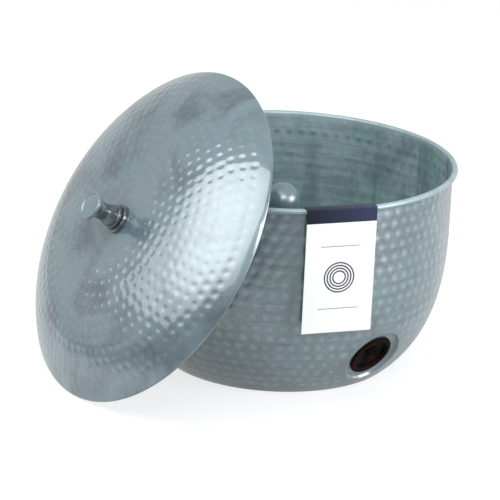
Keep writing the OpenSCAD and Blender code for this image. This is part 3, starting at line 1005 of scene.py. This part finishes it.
def makeKnobSteel():
    # the neck, foot and collar are darker, partly darker patina and partly painted shade under the head; the head
    # keeps the lighter patina
    material, tree, shader = newMaterial("knobSteel")
    patina = patinaOf(tree, knobLook, knobLook["wornShare"])
    where = objectSpot(tree)
    axis = lidPlace.to_3x3() @ Vector((0, 0, 1))
    along = calc(tree, "SUBTRACT", vecCalc(tree, "DOT_PRODUCT", where, tuple(axis)),
                 knobPlace.translation.dot(axis))
    paleTop = remap(tree, along, knob["height"] - 9 * mm, knob["height"] - 2 * mm, curve="SMOOTHSTEP")
    # below the head: painted shade mixed with darker patina stains
    stained = remap(tree, noise(tree, where, 110.0, 3.0), 0.5, 0.66)
    shadeAndPatinaBelowHead = mixed(tree, stained, knobLook["dark"], knobLook["stain"])
    fill(tree, shader, {
        "Base Color": mixed(tree, paleTop, shadeAndPatinaBelowHead, patina["Color"]),
        "Roughness": calc(tree, "ADD", patina["Roughness"], knobLook["roughness"])})
    lacquer(tree, shader, knobLook)
    return material


knobSteel = makeKnobSteel()


def makeKnob():
    holeR = knob["screwR"] + knob["gap"]
    collarR, collarTop, headR = knob["collarR"], knob["collarH"], knob["headR"]
    collar = spun("knob_collar_turned", softened([
        (holeR, 0, 0.2 * mm), (collarR, 0, 0.5 * mm), (collarR, collarTop * 0.55, 0.8 * mm),
        (collarR - knob["collarStep"], collarTop, 1.4 * mm), (holeR, collarTop, 0.2 * mm)], 6), 160)
    finishPiece(collar, "knob_collar", "lid", knobSteel, knobPlace)

    # the turned knob: screw hole, round foot, neck with its waist, and a dished head
    edge, top, boreEnd = knob["edge"], knob["height"], collarTop + knob["screwIn"]
    low, high = collarTop + knob["footH"], top - knob["headH"]
    waist = low + (high - low) * knob["waist"]
    half = knob["footH"] / 2
    footRise = knob["footR"] - half / 2 - knob["neckR"]
    headRise = headR - edge / 2 - knob["neckR"]
    foot = arcPoints((knob["footR"] - half, collarTop + half), half, -60, 60, 14)
    steps = 20
    lower = [(knob["neckR"] + footRise * (1 + math.cos(math.pi * i / steps)) / 2,
              low + (waist - low) * i / steps) for i in range(1, steps)]
    upper = [(knob["neckR"] + headRise * (i / steps) ** knob["flare"],
              waist + (high - waist) * i / steps) for i in range(steps + 1)]
    lip = headR - 2 * edge
    head = softened([
        upper[-1] + (0,), (headR, high + edge / 2, 0.5 * mm), (headR, top - edge, 0.7 * mm),
        (headR - edge, top, 0.6 * mm), (lip, top, 0.5 * mm),
        (lip - knob["dish"], top - knob["dish"], 0.8 * mm), (0, top - knob["dish"], 0)], closed=False)
    boreR = knob["screwR"] + knob["gap"] / 3
    bore = [(0, boreEnd + 1 * mm), (boreR, boreEnd + 1 * mm), (boreR, collarTop)]
    turned = spun("lid_knob_turned", bore + foot + lower + upper[:-1] + head, 160, 32)
    finishPiece(turned, "lid_knob", "lid", knobSteel, knobPlace)

    seatZ = -lid["sheet"] - knob["washerT"]
    makeWasher("knob_washer_zinc", "knob_washer", "lid", holeR, knob["washerR"], seatZ, -lid["sheet"],
               0.25 * mm, knobPlace)
    headZ, screwR, screwHeadR = seatZ - knob["screwHeadH"], knob["screwR"], knob["screwHeadR"]
    screw = spun("knob_screw_zinc", softened([
        (0, headZ + knob["slot"], 0), (knob["slotR"], headZ + knob["slot"], 0.2 * mm),
        (knob["slotR"] + 0.6 * mm, headZ, 0.3 * mm), (screwHeadR - 0.6 * mm, headZ + 0.2 * mm, 0.5 * mm),
        (screwHeadR, seatZ - 0.8 * mm, 0.6 * mm), (screwHeadR, seatZ, 0.1 * mm), (screwR, seatZ, 0),
        (screwR, boreEnd - knob["screwTip"], 0), (screwR - knob["screwTip"], boreEnd, 0),
        (0, boreEnd, 0)]), 64, 30)
    finishPiece(screw, "knob_screw", "lid", zincPlate, knobPlace)


makeKnob()
print("lid and knob built")


# folded card over the rim

card = {
    "angle": 258, "width": 85 * mm, "drop": 150 * mm, "flap": 38 * mm, "thickness": 0.6 * mm, "gap": 0.3 * mm,
    "band": 17.5 * mm, "fold": 1.2 * mm, "lean": 1.5 * mm, "columns": 16, "rowLength": 8 * mm,
    "coilAt": 84 * mm, "coilR": 18.8 * mm, "coilHole": 6.8 * mm, "coilPitch": 3.4 * mm,
    "rulesAt": (46 * mm, 122 * mm), "ruleHalf": 24 * mm, "ruleWidth": 0.7 * mm,
    "paper": ((0.93, 0.93, 0.92, 1), (0.97, 0.97, 0.97, 1)), "ink": (0.045, 0.050, 0.085, 1),
    "navy": ((0.012, 0.014, 0.026, 1), (0.040, 0.050, 0.105, 1)), "roughness": (0.34, 0.5),
}


def makeCardMaterial():
    # UV is in metres: across from the middle, and down from the fold, with the flap below 0
    material, tree, shader = newMaterial("printedCard")
    spot = partsOf(tree, place(tree, "ShaderNodeUVMap", uv_map="print").outputs[0])
    across, down = spot["X"], spot["Y"]
    fibre = noise(tree, objectSpot(tree), 700.0, 3.0)
    toRight = remap(tree, across, -card["width"] / 2, card["width"] / 2)

    # a coil of plain rings and two thin rules
    fromCoil = vecCalc(tree, "LENGTH", vecOf(tree, across, calc(tree, "SUBTRACT", down, card["coilAt"]), 0.0))
    wave = calc(tree, "FRACT", calc(tree, "DIVIDE", fromCoil, card["coilPitch"]))
    ink = times(tree, calc(tree, "LESS_THAN", wave, 0.5), calc(tree, "LESS_THAN", fromCoil, card["coilR"]),
                calc(tree, "GREATER_THAN", fromCoil, card["coilHole"]))
    for height in card["rulesAt"]:
        off = calc(tree, "ABSOLUTE", calc(tree, "SUBTRACT", down, height))
        rule = times(tree, calc(tree, "LESS_THAN", off, card["ruleWidth"] / 2),
                     calc(tree, "LESS_THAN", calc(tree, "ABSOLUTE", across), card["ruleHalf"]))
        ink = calc(tree, "MAXIMUM", ink, rule)
    ink = times(tree, ink, calc(tree, "GREATER_THAN", down, 0.0))
    printed = mixed(tree, ink, mixed(tree, fibre, *card["paper"]), card["ink"])
    banded = calc(tree, "LESS_THAN", down, card["band"])
    fill(tree, shader, {
        "Base Color": mixed(tree, banded, printed, mixed(tree, toRight, *card["navy"])),
        "Roughness": remap(tree, fibre, 0.0, 1.0, *card["roughness"]),
        "Normal": bumped(tree, fibre, 0.06, 0.1 * mm), "Specular IOR Level": 0.2})
    return material


def makeCard():
    half = card["thickness"] / 2
    offRim = card["gap"] + half
    front, top = pot["rimR"] + offRim, pot["height"] + offRim
    back = math.sqrt((wallR - pot["sheet"]) ** 2 - (card["width"] / 2) ** 2) - offRim
    path = softened([
        (front - card["lean"], pot["height"] - card["drop"], 0), (front, top, card["fold"]),
        (back, top, card["fold"]), (back, top + half - card["flap"], 0)], 6, closed=False)
    dense = [path[0]]
    for a, b in zip(path, path[1:]):
        pieces = max(1, math.ceil(math.dist(a, b) / card["rowLength"]))
        dense += [(a[0] + (b[0] - a[0]) * k / pieces, a[1] + (b[1] - a[1]) * k / pieces)
                  for k in range(1, pieces + 1)]
    downs = runsOf(dense)
    frontLength = max(d for p, d in zip(dense, downs) if p[0] > front - card["lean"] - 0.01 * mm)
    bm = bmesh.new()
    uv = bm.loops.layers.uv.new("print")
    rows, marks = [], {}
    for (r, z), run in zip(dense, downs):
        row = []
        for y in [card["width"] * (j / card["columns"] - 0.5) for j in range(card["columns"] + 1)]:
            row.append(bm.verts.new((r, y, z)))
            marks[row[-1]] = (y, frontLength - run)
        rows.append(row)
    for a, b in zip(rows, rows[1:]):
        bridge(bm, a, b, closed=False)
    for corner in [corner for made in bm.faces for corner in made.loops]:
        corner[uv].uv = marks[corner.vert]
    folded = meshObject("rim_card_folded", bm)
    thick = folded.modifiers.new("thickness", "SOLIDIFY")
    thick.thickness = card["thickness"]
    thick.offset = 0
    applyModifiers(folded)
    folded.data.transform(Matrix.Rotation(math.radians(card["angle"]), 4, "Z"))
    smoothShade(folded, 50)
    finishPiece(folded, "rim_card", "card", makeCardMaterial())
    print("card built,", round(downs[-1] / mm), "mm of card")


makeCard()


# floor, lamps and camera

stage = {
    "floorSize": 14.0, "paintedShadeFloor": (0.10, 0.10, 0.105, 1), "day": (0.27, 0.28, 0.29, 1),
    "paintedShadeFrom": (-0.64, -0.36),
    # how bright the floor looks to the camera, and to the steel that mirrors it
    "liftLeft": 0.90, "liftRight": 0.76, "white": (1.1, 2.6),
    "gloss": 0.42, "glossInFront": 0.05, "glossFrom": (-0.4, 0.0), "glossFar": 0.32, "farFrom": (0.2, 0.6),
    # how bright the studio is: straight up, at the horizon behind, and at the horizon in front
    "overhead": 0.46, "behind": 0.62, "inFront": 0.4, "toTheRight": 0.1,
}


def makeFloor():
    # the floor is painted darker to the left, as shade that the steel mirrors, and glows for glossy rays more
    # behind and to the right, as painted reflections; its glow makes it white all over for the camera, and leaves
    # it dark under the raised base
    bm = bmesh.new()
    bmesh.ops.create_grid(bm, x_segments=1, y_segments=1, size=stage["floorSize"] / 2)
    floor = meshObject("floor", bm)
    material, tree, shader = newMaterial("paleFloor")
    where = objectSpot(tree)
    spot = partsOf(tree, where)
    # the floor's colour turns dark to the left: painted shade that the steel mirrors
    day = remap(tree, spot["X"], *stage["paintedShadeFrom"], curve="SMOOTHSTEP")
    paths = place(tree, "ShaderNodeLightPath").outputs
    near = remap(tree, spot["Y"], *stage["glossFrom"], stage["glossInFront"], stage["gloss"])
    far = remap(tree, spot["Y"], *stage["farFrom"], 0.0, stage["glossFar"])
    # glow that only glossy rays see, set by place: painted reflections in the steel
    mirrored = times(tree, calc(tree, "MAXIMUM", paths["Is Glossy Ray"], paths["Is Transmission Ray"]),
                     calc(tree, "MAXIMUM", far, times(tree, day, near)))
    distance = vecCalc(tree, "LENGTH", where)
    lift = calc(tree, "MAXIMUM", remap(tree, day, 0.0, 1.0, stage["liftLeft"], stage["liftRight"]),
                remap(tree, distance, *stage["white"]))
    seen = times(tree, paths["Is Camera Ray"], lift,
                 calc(tree, "GREATER_THAN", distance, pot["baseR"] - pot["footWidth"] / 2))
    fill(tree, shader, {
        "Base Color": mixed(tree, day, stage["paintedShadeFloor"], stage["day"]), "Roughness": 0.6,
        "Emission Strength": calc(tree, "MAXIMUM", seen, mirrored), "Emission Color": (1, 1, 1, 1)})
    floor.data.materials.append(material)


def makeWorld():
    world = bpy.data.worlds.new("studio")
    scene.world = world
    world.use_nodes = True
    tree = world.node_tree
    heading = partsOf(tree, place(tree, "ShaderNodeTexCoord").outputs["Generated"])
    horizon = remap(tree, heading["Y"], -0.6, 0.9, stage["inFront"], stage["behind"], "SMOOTHSTEP")
    horizon = calc(tree, "ADD", horizon, times(tree, heading["X"], stage["toTheRight"]))
    height = remap(tree, heading["Z"], 0.08, 0.34, curve="SMOOTHSTEP")
    level = mixed(tree, height, horizon, stage["overhead"], "FLOAT")
    seen = place(tree, "ShaderNodeLightPath").outputs["Is Camera Ray"]
    fill(tree, tree.nodes["Background"], {"Strength": mixed(tree, seen, level, 1.0, "FLOAT"),
                                          "Color": (1, 1, 1, 1)})


def addSoftbox(name, centre, target, width, height, power, roll=0.0, edgeLevel=1.0, peak=(0.5, 0.5)):
    # edgeLevel is how bright the cloth is far from its peak, which is given in shares of the sides
    lamp = bpy.data.lights.new(name, "AREA")
    lamp.shape = "RECTANGLE"
    lamp.size, lamp.size_y = width, height
    lamp.energy = power
    if edgeLevel < 1.0:
        lamp.use_nodes = True
        tree = lamp.node_tree
        spot = partsOf(tree, place(tree, "ShaderNodeNewGeometry").outputs["Parametric"])
        across = [calc(tree, "POWER", calc(tree, "ABSOLUTE", calc(tree, "SUBTRACT", spot[axis], middle)), 2.0)
                  for axis, middle in zip("XY", peak)]
        off = times(tree, calc(tree, "ADD", *across), 4.0)
        fill(tree, tree.nodes["Emission"], {"Strength": remap(tree, off, 0.0, 1.0, 1.0, edgeLevel)})
    obj = bpy.data.objects.new(name, lamp)
    facing = (Vector(target) - Vector(centre)).to_track_quat("-Z", "Y").to_matrix().to_4x4()
    obj.matrix_world = Matrix.Translation(centre) @ facing @ Matrix.Rotation(math.radians(roll), 4, "Z")
    scene.collection.objects.link(obj)
    return obj


def addCamera():
    # focal is in pixels of a frame that is 500 wide
    eye = {"at": (-1.8073, -2.9679, 1.2852), "yaw": -30.737, "pitch": 18.396, "roll": 2.503, "focal": 3000,
           "sensor": 36, "reach": 50}
    data = bpy.data.cameras.new("camera")
    data.sensor_width = eye["sensor"]
    data.lens = eye["focal"] / 500 * eye["sensor"]
    data.clip_end = eye["reach"]
    obj = bpy.data.objects.new("camera", data)
    scene.collection.objects.link(obj)
    turned = Matrix.Translation(eye["at"])
    for angle, axis in ((eye["yaw"], "Z"), (90 - eye["pitch"], "X"), (eye["roll"], "Z")):
        turned = turned @ Matrix.Rotation(math.radians(angle), 4, axis)
    obj.matrix_world = turned
    scene.camera = obj


makeFloor()
makeWorld()
addSoftbox("softbox left", (-2.89, -0.21, 1.45), (-2.24, -1.02, -0.72), 4.0, 3.6, 112, roll=-7,
           edgeLevel=0.34, peak=(0.3, 0.68))
addSoftbox("softbox front", (-1.0, -2.2, 2.4), (0, 0, 0.15), 1.5, 1.0, 22)
addSoftbox("softbox right", (1.45, -2.05, 0.9), (0, 0, 0.3), 1.5, 1.5, 47)
addSoftbox("softbox low right", (2.1, -0.9, 0.34), (0, 0, 0.15), 0.7, 0.6, 2)
above = addSoftbox("softbox above", (0.45, 0.0, 2.3), (0.05, 0, 0), 1.8, 1.8, 17)
above.visible_glossy = False    # a veil of light into the bowl, which no steel mirrors
addCamera()
scene.view_settings.view_transform = "Standard"
print("stage, lamps and camera set")
